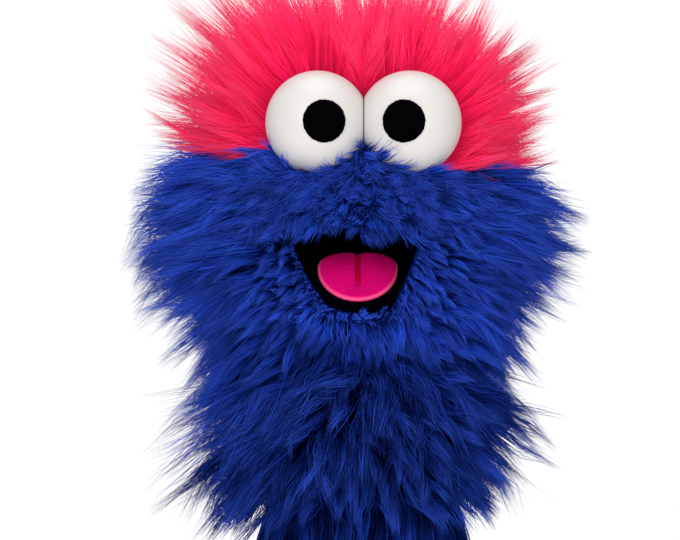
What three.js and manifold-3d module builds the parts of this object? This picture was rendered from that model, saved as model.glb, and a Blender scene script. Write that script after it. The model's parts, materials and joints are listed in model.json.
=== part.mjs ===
// A long-haired moving mouth puppet, worn on the hand: a foam head with a folding mouth, a furry
// skin, two ball eyes and a sleeve for the forearm. Millimetres, +Z up, the face towards -Y. The
// origin is on the surface the hem stands on, under the middle of the puppet.
import * as THREE from "three";
import { mergeVertices } from "three/addons/utils/BufferGeometryUtils.js";
import Module from "manifold-3d";

const wasm = await Module();
wasm.setup();

// ---- Driving dimensions ----

const GAP = 0.4; // left between pieces that touch
const FAR = 600; // longer than the puppet, for the cutting solids

// Sleeve, a set of tubes round one upright axis
const SLEEVE_Y = 8;
const ARM_RADIUS = 45; // the opening that the forearm goes through
const LINING = 1.2;
const BODY_FOAM = 7.5;
const SLEEVE_PILE = 20; // fur lying down against the sleeve
const SLEEVE_TOP = 118;
const FOAM_ABOVE_FUR = 4; // how far the body foam stands out of the sleeve's fur
const HEM_HEIGHT = 10;
const FUR_OFF_TABLE = 1;
const NECK_RING_HEIGHT = 16;

// Mouth: two stiff plates that fold at one line across the head
const HINGE_Y = 0;
const HINGE_Z = 266;
const MOUTH_OPEN = 38; // degrees between the plates as the puppet is stored
const PLATE = { half: 47, length: 72, start: 6, thick: 3 };
const FELT = 1.2;
const MOUTH_SLIT = 2; // from the hinge's level to each felt, which leaves room for the tongue
const FOLD_RADIUS = 5.2;
const FOLD_TAPE = 1;

// Tongue, on the lower plate
const TONGUE = { half: 23.5, from: 18, to: 63, widest: 0.42, thick: 2.5 };

// Foam
const FOAM = 10;
const SKULL = { y: 2, z: 280, side: 70, front: 66, back: 68, up: 78, down: 150, power: 2.3 };
const SKULL_BOTTOM = 188;
const JAW = { y: -10, z: -6, side: 62, front: 60, back: 60, up: 42, down: 42, power: 2.4 };
const JAW_REAR = 58; // degrees from the lower plate round to the rear of the jaw foam
const THROAT_REAR = 118; // degrees from straight ahead, about the hinge, to where the nape starts

// Fur, as the closed form that its pile fills
const PINK = { y: 0, z: 270, side: 116, front: 72, back: 98, up: 136, down: 98, power: 2.9 };
const BLUE = { y: 0, z: 270, side: 126, front: 100, back: 100, up: 136, down: 125, power: 2.8 };
const HAIRLINE = 303;
const SIDE_SEAM_Y = 5;
const HEAD_FUR_BOTTOM = 172;
const CHIN_REACH = 112; // from the hinge to the lowest part of the chin
const LIP_FUR = 2.5; // from the hinge's level to the edge of the fur at each lip
const CHEEK_FRONT = -54;

// Eyes: two balls glued side by side, with felt pupils
const EYE = { radius: 30, out: 26, y: -58, z: 328, wall: 1.6, seat: 14 };
const EYE_BASE = { radius: 24, thick: 3 };
const PUPIL = { radius: 11.4, inward: 4.5, down: 1, thick: 1 };

// Straps for the hand
const FINGER_STRAP = { half: 38, rise: 22, from: -38, to: -12, thick: 1.5 };
const THUMB_STRAP = { half: 17, rise: 19, from: -46, to: -24, thick: 1.5 };

// ---- Solids ----

const PLATE_FACE = MOUTH_SLIT + FELT + GAP; // from the hinge's level to each plate
const PLATE_BACK = PLATE_FACE + PLATE.thick;
const LINING_OUTER = ARM_RADIUS + LINING;
const FOAM_INNER = LINING_OUTER + GAP;
const FOAM_OUTER = FOAM_INNER + BODY_FOAM;
const FUR_INNER = FOAM_OUTER + GAP;
const FUR_OUTER = FUR_INNER + SLEEVE_PILE;
const BODY_FOAM_TOP = SLEEVE_TOP + FOAM_ABOVE_FUR;

const radians = THREE.MathUtils.degToRad;

// A closed three.js geometry as a solid.
function solid(geometry) {
  const g = geometry.index ? geometry.toNonIndexed() : geometry.clone();
  for (const name of Object.keys(g.attributes)) {
    if (name !== "position") g.deleteAttribute(name);
  }
  const merged = mergeVertices(g, 1e-4);
  return new wasm.Manifold(
    new wasm.Mesh({
      numProp: 3,
      vertProperties: merged.attributes.position.array,
      triVerts: new Uint32Array(merged.index.array),
    }),
  );
}

// A solid as a named mesh.
function piece(name, made, material) {
  const m = made.getMesh();
  const g = new THREE.BufferGeometry();
  g.setAttribute("position", new THREE.BufferAttribute(new Float32Array(m.vertProperties), 3));
  g.setIndex(new THREE.BufferAttribute(new Uint32Array(m.triVerts), 1));
  const flat = g.toNonIndexed();
  flat.computeVertexNormals();
  const mesh = new THREE.Mesh(flat, material);
  mesh.name = name;
  return mesh;
}

const box = (x0, x1, y0, y1, z0, z1) =>
  solid(
    new THREE.BoxGeometry(x1 - x0, y1 - y0, z1 - z0).translate(
      (x0 + x1) / 2,
      (y0 + y1) / 2,
      (z0 + z1) / 2,
    ),
  );
const above = (z) => box(-FAR, FAR, -FAR, FAR, z, FAR);
const below = (z) => box(-FAR, FAR, -FAR, FAR, -FAR, z);
const ahead = (y) => box(-FAR, FAR, -FAR, y, -FAR, FAR);
const behind = (y) => box(-FAR, FAR, y, FAR, -FAR, FAR);
const sideOf = (x, side) =>
  side > 0 ? box(x, FAR, -FAR, FAR, -FAR, FAR) : box(-FAR, -x, -FAR, FAR, -FAR, FAR);

// A rounded form with its own half size in each direction. Power 2 makes each upright section an
// ellipse, and more makes it squarer.
function lobe(shape, grow = 0, around = 30, levels = 14) {
  const g = new THREE.SphereGeometry(1, around, levels).rotateX(Math.PI / 2);
  const at = g.attributes.position;
  for (let i = 0; i < at.count; i++) {
    const [x, y, z] = [at.getX(i), at.getY(i), at.getZ(i)];
    const ring = Math.hypot(x, y);
    const wide = ring > 1e-6 ? ring ** (2 / shape.power) / ring : 0;
    const high = Math.sign(z) * Math.abs(z) ** (2 / shape.power);
    at.setXYZ(
      i,
      x * wide * (shape.side + grow),
      shape.y + y * wide * ((y < 0 ? shape.front : shape.back) + grow),
      shape.z + high * ((z < 0 ? shape.down : shape.up) + grow),
    );
  }
  return solid(g);
}

// A tube round the sleeve's axis.
function tube(inner, outer, low, high, around = 36) {
  const profile = [
    [inner, low],
    [outer, low],
    [outer, high],
    [inner, high],
    [inner, low],
  ].map(([r, z]) => new THREE.Vector2(r, z));
  const g = new THREE.LatheGeometry(profile, around).rotateX(Math.PI / 2);
  return solid(g.translate(0, SLEEVE_Y, 0));
}

// A column with one ellipse at its foot and another at its top.
function taper(low, foot, high, top) {
  const g = new THREE.CylinderGeometry(1, 1, 1, 36).rotateX(Math.PI / 2);
  const at = g.attributes.position;
  const mix = THREE.MathUtils.lerp;
  for (let i = 0; i < at.count; i++) {
    const t = at.getZ(i) + 0.5;
    const x = at.getX(i) * mix(foot.side, top.side, t);
    const y = at.getY(i) * mix(foot.deep, top.deep, t) + mix(foot.y, top.y, t);
    at.setXYZ(i, x, y, mix(low, high, t));
  }
  return solid(g);
}

// A flat outline in a plane across the head, with its x ahead of the hinge and its y below it,
// drawn out along X.
function across(shape, half, segments = 12) {
  const g = new THREE.ExtrudeGeometry(shape, {
    depth: 2 * half,
    bevelEnabled: false,
    curveSegments: segments,
  });
  const turn = new THREE.Matrix4().makeBasis(
    new THREE.Vector3(0, -1, 0),
    new THREE.Vector3(0, 0, -1),
    new THREE.Vector3(1, 0, 0),
  );
  return solid(g.applyMatrix4(turn).translate(-half, 0, 0));
}

// Everything between two angles about the hinge, from straight ahead (0) round by straight down (90).
function wedge(from, to) {
  const shape = new THREE.Shape().moveTo(0, 0);
  shape.lineTo(FAR * Math.cos(radians(from)), FAR * Math.sin(radians(from)));
  shape.absarc(0, 0, FAR, radians(from), radians(to), false);
  return across(shape.closePath(), FAR).translate([0, HINGE_Y, HINGE_Z]);
}

// A round bar along the hinge.
function bar(radius) {
  const g = new THREE.CylinderGeometry(radius, radius, 2 * FAR, 40).rotateZ(Math.PI / 2);
  return solid(g).translate([0, HINGE_Y, HINGE_Z]);
}

// A solid in the lower jaw's own frame, where the lower plate is level and the hinge is the
// origin, carried to where it is with the mouth open.
const opened = (made, angle = MOUTH_OPEN) =>
  made.rotate([angle, 0, 0]).translate([0, HINGE_Y, HINGE_Z]);

// The mouth's D-shaped outline, from a straight edge at the back to the lip.
function plateOutline(grow = 0, back = 0) {
  const [half, start] = [PLATE.half + grow, -PLATE.start];
  const shape = new THREE.Shape().moveTo(-half, start + back);
  if (back > 0) shape.lineTo(-half, start);
  shape.absellipse(0, start, half, PLATE.length - PLATE.start + grow, Math.PI, 2 * Math.PI, false);
  if (back > 0) shape.lineTo(half, start + back);
  return shape.closePath();
}

function slab(shape, low, thick, segments = 14) {
  const g = new THREE.ExtrudeGeometry(shape, {
    depth: thick,
    bevelEnabled: false,
    curveSegments: segments,
  });
  return solid(g.translate(0, 0, low));
}

// A strap that arches off a plate and back, for fingers to go under.
function arch({ half, rise, from, to, thick }) {
  const shape = new THREE.Shape().moveTo(half, 0);
  shape.absellipse(0, 0, half, rise, 0, Math.PI, false);
  shape.lineTo(thick - half, 0);
  shape.absellipse(0, 0, half - thick, rise - thick, Math.PI, 0, true);
  const g = new THREE.ExtrudeGeometry(shape.closePath(), {
    depth: to - from,
    bevelEnabled: false,
    curveSegments: 16,
  });
  return solid(g.rotateX(Math.PI / 2).translate(0, to, 0));
}

// Where the wrist goes, from the sleeve up to the mouth.
const armSpace = tube(0, FUR_INNER, -FAR, HINGE_Z);

// ---- Materials ----

const cloth = (color, roughness = 0.95) =>
  new THREE.MeshStandardMaterial({ color, roughness, metalness: 0 });
const blueFur = cloth(0x1f46b4, 0.7);
const pinkFur = cloth(0xff2f63, 0.7);
const blackFelt = cloth(0x08080c);
const tongueFelt = cloth(0xd01866);
const foam = cloth(0xe9e2cf);
const liningCloth = cloth(0x1b2340);
const elastic = cloth(0x15161c, 0.8);
const board = cloth(0x3a3a3e, 0.6);
const eyePlastic = new THREE.MeshStandardMaterial({ color: 0xeeebe4, roughness: 0.3, metalness: 0 });

// ---- Sleeve ----

function sleeve() {
  const group = new THREE.Group();
  const fur = tube(FUR_INNER, FUR_OUTER, FUR_OFF_TABLE, SLEEVE_TOP);
  group.add(
    piece("hem_binding", tube(ARM_RADIUS, FOAM_OUTER, 0, HEM_HEIGHT), liningCloth),
    piece("sleeve_lining", tube(ARM_RADIUS, LINING_OUTER, HEM_HEIGHT + GAP, BODY_FOAM_TOP), liningCloth),
    piece("body_foam", tube(FOAM_INNER, FOAM_OUTER, HEM_HEIGHT + GAP, BODY_FOAM_TOP), foam),
    piece("sleeve_fur_front", fur.intersect(ahead(SLEEVE_Y - GAP / 2)), blueFur),
    piece("sleeve_fur_back", fur.intersect(behind(SLEEVE_Y + GAP / 2)), blueFur),
  );
  return group;
}

function neck() {
  const group = new THREE.Group();
  const low = BODY_FOAM_TOP + GAP;
  const drop = (BLUE.z - HEAD_FUR_BOTTOM) / BLUE.down;
  const share = (1 - drop ** BLUE.power) ** (1 / BLUE.power); // of the blue form left at its cut
  const wide = { y: BLUE.y, side: share * BLUE.side, deep: share * BLUE.front };
  const narrow = { y: SLEEVE_Y, side: FUR_OUTER, deep: FUR_OUTER };
  const skin = taper(SLEEVE_TOP + GAP, narrow, HEAD_FUR_BOTTOM - GAP, wide).subtract(armSpace);
  group.add(
    piece("neck_ring", tube(FOAM_INNER, FOAM_OUTER, low, low + NECK_RING_HEIGHT), foam),
    piece("neck_fur", skin, blueFur),
  );
  return group;
}

// ---- Head ----

const skullOuter = lobe(SKULL);
const blueForm = lobe(BLUE).intersect(above(HEAD_FUR_BOTTOM));
const mouthSpace = opened(slab(plateOutline(GAP, 2 * PLATE.start), -FAR, 2 * FAR), 0);
const eyeCentre = (side) => [side * EYE.out, EYE.y, EYE.z];
const ball = (radius, side, around = 22, levels = 14) =>
  solid(new THREE.SphereGeometry(radius, around, levels).rotateZ(Math.PI / 2)).translate(eyeCentre(side));
const EYE_SEAT_Y = EYE.y + EYE.seat;

// A round bar from far in front to a depth, behind one eye.
function eyeBar(radius, front, back, side) {
  const g = new THREE.CylinderGeometry(radius, radius, back - front, 28);
  return solid(g).translate([side * EYE.out, (front + back) / 2, EYE.z]);
}

// The foam head, glued up from a left and a right half.
function skullFoam() {
  const group = new THREE.Group();
  const front = ahead(HINGE_Y).intersect(below(HINGE_Z + PLATE_BACK + GAP));
  let made = skullOuter
    .subtract(lobe(SKULL, -FOAM))
    .intersect(above(SKULL_BOTTOM))
    .subtract(front)
    .subtract(wedge(0, THROAT_REAR));
  for (const side of [-1, 1]) made = made.subtract(eyeBar(EYE.radius + GAP, -FAR, EYE_SEAT_Y, side));
  group.add(
    piece("skull_foam_left", made.intersect(sideOf(GAP / 2, -1)), foam),
    piece("skull_foam_right", made.intersect(sideOf(GAP / 2, 1)), foam),
  );
  return group;
}

// Fur is cut back from the foam, the eyes and the mouth.
function furOnHead(envelope) {
  let made = envelope.subtract(lobe(SKULL, GAP)).subtract(armSpace);
  for (const side of [-1, 1]) {
    made = made.subtract(ball(EYE.radius + GAP, side));
    made = made.subtract(eyeBar(EYE.radius + GAP, EYE.y, EYE_SEAT_Y + GAP, side));
  }
  return made;
}

function headFur() {
  const group = new THREE.Group();
  const brow = box(-EYE.out, EYE.out, -FAR, EYE_SEAT_Y, HAIRLINE, EYE.z);
  const pink = furOnHead(lobe(PINK).intersect(above(HAIRLINE)).subtract(brow));
  const blue = blueForm.intersect(below(HAIRLINE - GAP));
  const face = furOnHead(
    blue.intersect(ahead(SIDE_SEAM_Y)).intersect(above(HINGE_Z + LIP_FUR)).subtract(mouthSpace),
  );
  const nape = furOnHead(
    blue
      .intersect(behind(SIDE_SEAM_Y + GAP))
      .subtract(wedge(0, THROAT_REAR)),
  );
  group.add(
    piece("pink_fur_left", pink.intersect(sideOf(GAP / 2, -1)), pinkFur),
    piece("pink_fur_right", pink.intersect(sideOf(GAP / 2, 1)), pinkFur),
    piece("upper_face_fur", face, blueFur),
    piece("nape_fur", nape, blueFur),
  );
  return group;
}

function eye(side, name) {
  const group = new THREE.Group();
  const hollow = ball(EYE.radius - EYE.wall, side).intersect(sideOf(GAP / 2 + EYE.wall, side));
  const shell = ball(EYE.radius, side)
    .intersect(sideOf(GAP / 2, side))
    .subtract(hollow)
    .subtract(behind(EYE_SEAT_Y - GAP));
  const base = eyeBar(EYE_BASE.radius, EYE_SEAT_Y - GAP - EYE_BASE.thick, EYE_SEAT_Y - GAP, side);

  const angle = Math.asin(PUPIL.radius / EYE.radius);
  const [inner, outer] = [EYE.radius + GAP, EYE.radius + GAP + PUPIL.thick];
  const arc = (r, from, to) => new THREE.EllipseCurve(0, 0, r, r, from, to, from > to).getPoints(3);
  const up = Math.PI / 2;
  const profile = [...arc(inner, up, up - angle), ...arc(outer, up - angle, up)];
  profile[0].x = 0;
  profile[profile.length - 1].x = 0;
  const degrees = (offset) => (Math.asin(offset / EYE.radius) * 180) / Math.PI;
  const cap = solid(new THREE.LatheGeometry(profile, 24).rotateX(Math.PI));
  const pupil = cap.rotate([degrees(PUPIL.down), 0, -side * degrees(PUPIL.inward)]).translate(eyeCentre(side));

  group.add(
    piece(`eye_ball_${name}`, shell, eyePlastic),
    piece(`eye_base_${name}`, base, board),
    piece(`pupil_${name}`, pupil, blackFelt),
  );
  return group;
}

function upperMouth() {
  const group = new THREE.Group();
  group.position.set(0, HINGE_Y, HINGE_Z);
  const tapeRing = new THREE.Shape().absarc(0, 0, FOLD_RADIUS, radians(75), radians(330), false);
  tapeRing.absarc(0, 0, FOLD_RADIUS - FOLD_TAPE, radians(330), radians(75), true);
  const strap = arch(FINGER_STRAP).translate([0, 0, PLATE_BACK + GAP]);
  group.add(
    piece("palate_lining", slab(plateOutline(), MOUTH_SLIT, FELT), blackFelt),
    piece("upper_mouth_plate", slab(plateOutline(), PLATE_FACE, PLATE.thick), board),
    piece("mouth_fold_tape", across(tapeRing.closePath(), PLATE.half, 18), blackFelt),
    piece("finger_strap", strap, elastic),
  );
  return group;
}

// ---- Jaw ----

function tongueOutline() {
  const shape = new THREE.Shape();
  const widest = TONGUE.from + TONGUE.widest * (TONGUE.to - TONGUE.from);
  shape.absellipse(0, -widest, TONGUE.half, widest - TONGUE.from, 0, Math.PI, false);
  shape.absellipse(0, -widest, TONGUE.half, TONGUE.to - widest, Math.PI, 2 * Math.PI, false);
  return shape.closePath();
}

const jawOuter = lobe(JAW);
const thumbSpace = lobe(JAW, -FOAM);

function lowerMouth() {
  const group = new THREE.Group();
  group.position.set(0, HINGE_Y, HINGE_Z);
  group.rotation.x = radians(MOUTH_OPEN);
  const strap = arch(THUMB_STRAP)
    .rotate([0, 180, 0])
    .translate([0, 0, -PLATE_BACK - GAP]);
  const rear = wedge(JAW_REAR, 200).translate([0, -HINGE_Y, -HINGE_Z]);
  const chin = jawOuter.subtract(thumbSpace).intersect(below(-PLATE_BACK - GAP)).subtract(rear);
  group.add(
    piece("lower_mouth_lining", slab(plateOutline(), -MOUTH_SLIT - FELT, FELT), blackFelt),
    piece("lower_mouth_plate", slab(plateOutline(), -PLATE_BACK, PLATE.thick), board),
    piece("tongue", slab(tongueOutline(), -MOUTH_SLIT + GAP, TONGUE.thick), tongueFelt),
    piece("thumb_strap", strap, elastic),
    piece("jaw_foam", chin, foam),
  );
  return group;
}

// Skin that joins the jaw to the head: the chin moves, and the cheeks and throat stretch with it.
function jawFur() {
  const group = new THREE.Group();
  const rear = MOUTH_OPEN + JAW_REAR;
  const lips = plateOutline(GAP, 2 * PLATE.start);
  const jawSpace = opened(lobe(JAW, GAP).add(slab(lips, -PLATE_BACK - GAP, FAR)));
  const chin = blueForm
    .intersect(bar(CHIN_REACH))
    .intersect(opened(below(-LIP_FUR)))
    .subtract(wedge(rear, 200))
    .subtract(wedge(-160, MOUTH_OPEN))
    .subtract(jawSpace)
    .subtract(armSpace);
  const cheeks = blueForm
    .subtract(lobe(SKULL, GAP))
    .intersect(wedge(0, MOUTH_OPEN))
    .intersect(behind(CHEEK_FRONT))
    .intersect(below(HINGE_Z + LIP_FUR - GAP))
    .intersect(opened(above(GAP - LIP_FUR)))
    .subtract(opened(slab(lips, -FAR, 2 * FAR), MOUTH_OPEN / 2));
  const throat = blueForm
    .intersect(wedge(rear + 0.5, THROAT_REAR - 0.5))
    .subtract(lobe(SKULL, GAP))
    .subtract(armSpace);
  group.add(
    piece("chin_fur", chin, blueFur),
    piece("cheek_fur_left", cheeks.intersect(sideOf(0, -1)), blueFur),
    piece("cheek_fur_right", cheeks.intersect(sideOf(0, 1)), blueFur),
    piece("throat_fur_left", throat.intersect(sideOf(0, -1)), blueFur),
    piece("throat_fur_right", throat.intersect(sideOf(0, 1)), blueFur),
  );
  return group;
}

const puppet = new THREE.Group();
puppet.add(sleeve(), neck(), skullFoam(), headFur(), eye(-1, "left"), eye(1, "right"));
puppet.add(upperMouth(), lowerMouth(), jawFur());

export default puppet;
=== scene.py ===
"""A long-haired moving mouth puppet: fur, eyes, mouth and sleeve over the fixed frame of its solids."""

import json
import math
from typing import Callable, NamedTuple

import bmesh
import bpy
import numpy as np
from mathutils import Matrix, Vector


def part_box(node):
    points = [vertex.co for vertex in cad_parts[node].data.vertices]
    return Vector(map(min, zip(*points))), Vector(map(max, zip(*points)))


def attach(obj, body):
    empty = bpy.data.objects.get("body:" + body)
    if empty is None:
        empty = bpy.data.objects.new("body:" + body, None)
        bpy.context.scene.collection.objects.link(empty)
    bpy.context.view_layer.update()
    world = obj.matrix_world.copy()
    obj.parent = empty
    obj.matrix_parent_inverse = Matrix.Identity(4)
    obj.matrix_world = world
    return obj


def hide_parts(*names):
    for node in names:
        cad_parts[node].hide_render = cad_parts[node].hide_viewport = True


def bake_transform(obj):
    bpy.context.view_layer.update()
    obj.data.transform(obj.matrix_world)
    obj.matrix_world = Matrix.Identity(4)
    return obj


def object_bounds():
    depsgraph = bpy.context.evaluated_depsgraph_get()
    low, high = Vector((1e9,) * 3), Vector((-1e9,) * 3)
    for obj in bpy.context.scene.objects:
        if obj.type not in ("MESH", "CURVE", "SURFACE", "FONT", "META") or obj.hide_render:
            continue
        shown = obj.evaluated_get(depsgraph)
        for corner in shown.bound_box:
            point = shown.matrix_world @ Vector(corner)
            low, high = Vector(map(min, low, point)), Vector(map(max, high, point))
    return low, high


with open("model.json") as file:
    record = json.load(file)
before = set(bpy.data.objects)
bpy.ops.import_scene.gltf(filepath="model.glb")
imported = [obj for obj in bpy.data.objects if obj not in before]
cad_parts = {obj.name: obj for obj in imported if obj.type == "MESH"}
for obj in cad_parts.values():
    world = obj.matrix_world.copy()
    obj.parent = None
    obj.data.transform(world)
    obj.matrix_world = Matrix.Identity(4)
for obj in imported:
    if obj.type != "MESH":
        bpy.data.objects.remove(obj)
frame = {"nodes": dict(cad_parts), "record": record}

CAD_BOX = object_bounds()

bl_info = {
    "name": "Moving mouth puppet",
    "version": (1, 0, 0),
    "blender": (4, 5, 0),
    "location": "3D View > Sidebar > Puppet",
    "description": "Makes the fur, the eyes, the mouth and the sleeve of a hand puppet with a folding mouth",
    "category": "Object",
}

MAP_NAME = "OFBake"
FULL_TURN = 2 * math.pi


# ---- Places on the frame ----


def middle(node):
    """The middle of a solid's box."""
    low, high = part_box(node)
    return np.array((low + high) / 2)


def joint_place(name):
    """The point that a joint turns about."""
    found = [j for j in frame["record"]["behaviour"]["joints"] if j["name"] == name]
    return np.array(found[0]["pos_m"], float)


HINGE = joint_place("jaw_open")
WRIST = joint_place("head_nod")
SLEEVE_AXIS = np.array([0.0, WRIST[1]])
PLATE_LOW, PLATE_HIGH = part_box("upper_mouth_plate")
LIP_HALF = PLATE_HIGH.x
LIP_START = -PLATE_HIGH.y
LIP_REACH = -PLATE_LOW.y
MOUTH_OPEN = math.radians(38)
BALL_LOW, BALL_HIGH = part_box("eye_ball_right")
EYE_RADIUS = (BALL_HIGH.z - BALL_LOW.z) / 2
EYE_FLAT = BALL_LOW.x
EYE_OUT = BALL_HIGH.x - EYE_RADIUS
EYE_FRONT, EYE_REAR = BALL_LOW.y, BALL_HIGH.y
EYE_HEIGHT = middle("eye_ball_right")[2]
EYE_CENTRES = {side: np.array([side * EYE_OUT, EYE_FRONT + EYE_RADIUS, EYE_HEIGHT]) for side in (-1, 1)}
EYES = {-1: "left", 1: "right"}
SLEEVE_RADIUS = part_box("body_foam")[1].x
SLEEVE_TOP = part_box("sleeve_fur_front")[1].z
ARM_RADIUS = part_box("sleeve_lining")[1].x
FRAME_HIGH = np.array(CAD_BOX[1])
ROOM = FRAME_HIGH + [0.002, 0.0, 0.010], FRAME_HIGH + [0.0155, 0.0135, 0.0205]


class Form(NamedTuple):
    """A rounded form with its own half size in each direction. A higher power makes it squarer."""

    y: float
    z: float
    side: float
    front: float
    back: float
    top: float
    bottom: float
    power: float


SKULL_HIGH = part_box("skull_foam_right")[1]
HEAD = Form(0.002, 0.280, SKULL_HIGH.x, 0.066, 0.068, SKULL_HIGH.z - 0.280, 0.150, 2.3)
JAW = Form(-0.010, -0.006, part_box("jaw_foam")[1].x, 0.060, 0.060, 0.042, 0.042, 2.4)


# ---- Properties ----


def length_value(name, description, default):
    return bpy.props.FloatProperty(name=name, description=description, default=default, unit="LENGTH")


def colour_value(name, description, default):
    return bpy.props.FloatVectorProperty(
        name=name, description=description, default=default, subtype="COLOR", size=3
    )


class PuppetSizes(bpy.types.PropertyGroup):
    """Sizes of the fur that a user may change."""

    pink_length: length_value("Pink hair", "Length of the cap's hair", 0.054)
    face_length: length_value("Face hair", "Length of the hair round the mouth", 0.024)
    side_length: length_value("Side hair", "Length of the tufts at the sides", 0.070)
    body_length: length_value("Body hair", "Length of the hair below the chin", 0.066)
    hair_width: length_value("Hair width", "Width of a hair at its root", 0.0006)
    hair_share: bpy.props.FloatProperty(
        name="Hair share", description="Share of the full number of hairs", default=1.0, min=0.05, max=1.0
    )


class PuppetColours(bpy.types.PropertyGroup):
    """Colours that a user may change."""

    pink: colour_value("Pink", "Middle colour of the cap", (1.0, 0.022, 0.115))
    blue: colour_value("Blue", "Middle colour of the body", (0.0125, 0.046, 0.395))
    tongue: colour_value("Tongue", "Colour of the tongue's felt", (1.0, 0.003, 0.185))
    eye: colour_value("Eye", "Colour of the eye balls", (0.57, 0.545, 0.525))


# ---- Meshes from arrays ----


def unit(vectors):
    """Each vector divided by its length."""
    size = np.linalg.norm(vectors, axis=-1, keepdims=True)
    return vectors / np.maximum(size, 1e-12)


def mesh_object(name, points, triangles, uv=None, smooth=True):
    """A mesh of triangles, with one UV pair to each point where uv is given."""
    mesh = bpy.data.meshes.new(name)
    mesh.vertices.add(len(points))
    mesh.vertices.foreach_set("co", np.ascontiguousarray(points, np.float32).ravel())
    corners = np.ascontiguousarray(triangles, np.int32).ravel()
    mesh.loops.add(len(corners))
    mesh.loops.foreach_set("vertex_index", corners)
    mesh.polygons.add(len(triangles))
    mesh.polygons.foreach_set("loop_start", np.arange(0, len(corners), 3, dtype=np.int32))
    mesh.polygons.foreach_set("use_smooth", np.full(len(triangles), smooth))
    mesh.update(calc_edges=True)
    if uv is not None:
        layer = mesh.uv_layers.new(name=MAP_NAME)
        layer.data.foreach_set("uv", np.ascontiguousarray(uv[corners], np.float32).ravel())
    mesh.validate()
    piece = bpy.data.objects.new(name, mesh)
    bpy.context.scene.collection.objects.link(piece)
    return piece


def grid_triangles(rows, columns, keep=None):
    """Two triangles for each kept cell of a grid of points."""
    index = np.arange(rows * columns).reshape(rows, columns)
    a, b, c, d = index[:-1, :-1], index[:-1, 1:], index[1:, 1:], index[1:, :-1]
    quads = np.stack([a, b, c, d], -1)
    quads = quads[keep] if keep is not None else quads.reshape(-1, 4)
    return np.concatenate([quads[:, [0, 1, 2]], quads[:, [0, 2, 3]]])


def closed_piece(name, points, triangles):
    """A mesh whose points in the same place are one, without the triangles that this closes and without
    unused points, its faces turned outwards."""
    places, index = np.unique(np.round(points, 7), axis=0, return_inverse=True)
    faces = index.reshape(-1)[triangles]
    a, b, c = faces.T
    faces = faces[(a != b) & (b != c) & (a != c)]
    used, index = np.unique(faces, return_inverse=True)
    piece = mesh_object(name, places[used], index.reshape(-1, 3))
    work = bmesh.new()
    work.from_mesh(piece.data)
    bmesh.ops.recalc_face_normals(work, faces=work.faces)
    work.to_mesh(piece.data)
    work.free()
    return piece


def shell(name, outer, inner, keep=None):
    """A closed wall between two grids of points: the outer grid, the inner one turned round, and a strip
    along every edge that only one triangle has."""
    rows, columns = outer.shape[:2]
    count = rows * columns
    points = np.concatenate([outer.reshape(-1, 3), inner.reshape(-1, 3)])
    face = grid_triangles(rows, columns, keep)
    place = np.unique(np.round(points[:count], 7), axis=0, return_inverse=True)[1].reshape(-1)
    edges = np.concatenate([face[:, [0, 1]], face[:, [1, 2]], face[:, [2, 0]]])
    start, end = place[edges].astype(np.int64).T
    single = ~np.isin(start * count + end, end * count + start) & (start != end)
    first, last = edges[single].T
    strip = np.stack([last, first, first + count], -1), np.stack([last, first + count, last + count], -1)
    return closed_piece(name, points, np.concatenate([face, face[:, ::-1] + count, *strip]))


def skin(name, grid):
    """A surface from one grid of points whose edges meet one another or close to a point."""
    return closed_piece(name, grid.reshape(-1, 3), grid_triangles(*grid.shape[:2]))


# ---- Surfaces that the fur grows on ----


def form_points(form, turn, rise, grow=0.0):
    """A rounded form's surface. Level cuts are ellipses: x goes with the sine of the turn and y with its
    cosine, the turn being 0 at the front. Up the form, the width goes with cos(rise) to the power
    2 / power, and the height with sin(rise) to the same power."""
    ring = np.abs(np.cos(rise)) ** (2 / form.power)
    level = np.sign(np.sin(rise)) * np.abs(np.sin(rise)) ** (2 / form.power)
    deep = np.where(np.cos(turn) > 0, form.front, form.back) + grow
    high = np.where(level > 0, form.top, form.bottom) + grow
    x = np.sin(turn) * ring * (form.side + grow)
    y = form.y - np.cos(turn) * ring * deep
    return np.stack([x, y, form.z + level * high], -1)


def angles(turns, rises, columns=97, rows=65):
    """A grid of turns and rises, each given as its two ends in degrees."""
    turn = np.radians(np.linspace(*turns, columns))
    rise = np.radians(np.linspace(*rises, rows))
    return np.meshgrid(turn, rise)


def opened(points, angle=MOUTH_OPEN):
    """Points of the jaw's own frame, with its plate level and the hinge as origin, turned open about X."""
    c, s = math.cos(angle), math.sin(angle)
    x, y, z = points[..., 0], points[..., 1], points[..., 2]
    return np.stack([x, y * c - z * s, y * s + z * c], -1) + HINGE


def lip_curve(share, grow=0.0):
    """The mouth's D-shaped rim, half an ellipse from one corner (0) by the front to the other (1)."""
    turn = math.pi * share
    x = -np.cos(turn) * (LIP_HALF + grow)
    y = -LIP_START - np.sin(turn) * (LIP_REACH - LIP_START + grow)
    return x, y


def hinge_angle(points):
    """Degrees about the hinge, from straight ahead (0) by straight down (90), up to 360."""
    return np.degrees(np.arctan2(HINGE[2] - points[..., 2], HINGE[1] - points[..., 1])) % 360


def hairline(points):
    """The height where the pink cap ends: lower on the right, with a peak of blue between the eyes."""
    ahead = points[..., 1] < -0.03
    peak = 0.008 * np.exp(-((points[..., 0] / 0.016) ** 2)) * ahead
    return 0.3055 - 0.0045 * np.clip(points[..., 0] / 0.040, -1, 1) + peak


def clear_of_eyes(points, gap=0.0005):
    """True where a point is outside both eye balls, or less deep in one than a gap below 0."""
    away = [np.linalg.norm(points - centre, axis=-1) for centre in EYE_CENTRES.values()]
    return np.minimum(*away) > EYE_RADIUS + gap


def cell_keep(surface, test):
    """Which cells of a grid have all four corners where a test is true."""
    good = test(surface)
    return good[:-1, :-1] & good[:-1, 1:] & good[1:, 1:] & good[1:, :-1]


def everywhere(points):
    return np.ones(points.shape[:-1], bool)


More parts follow.
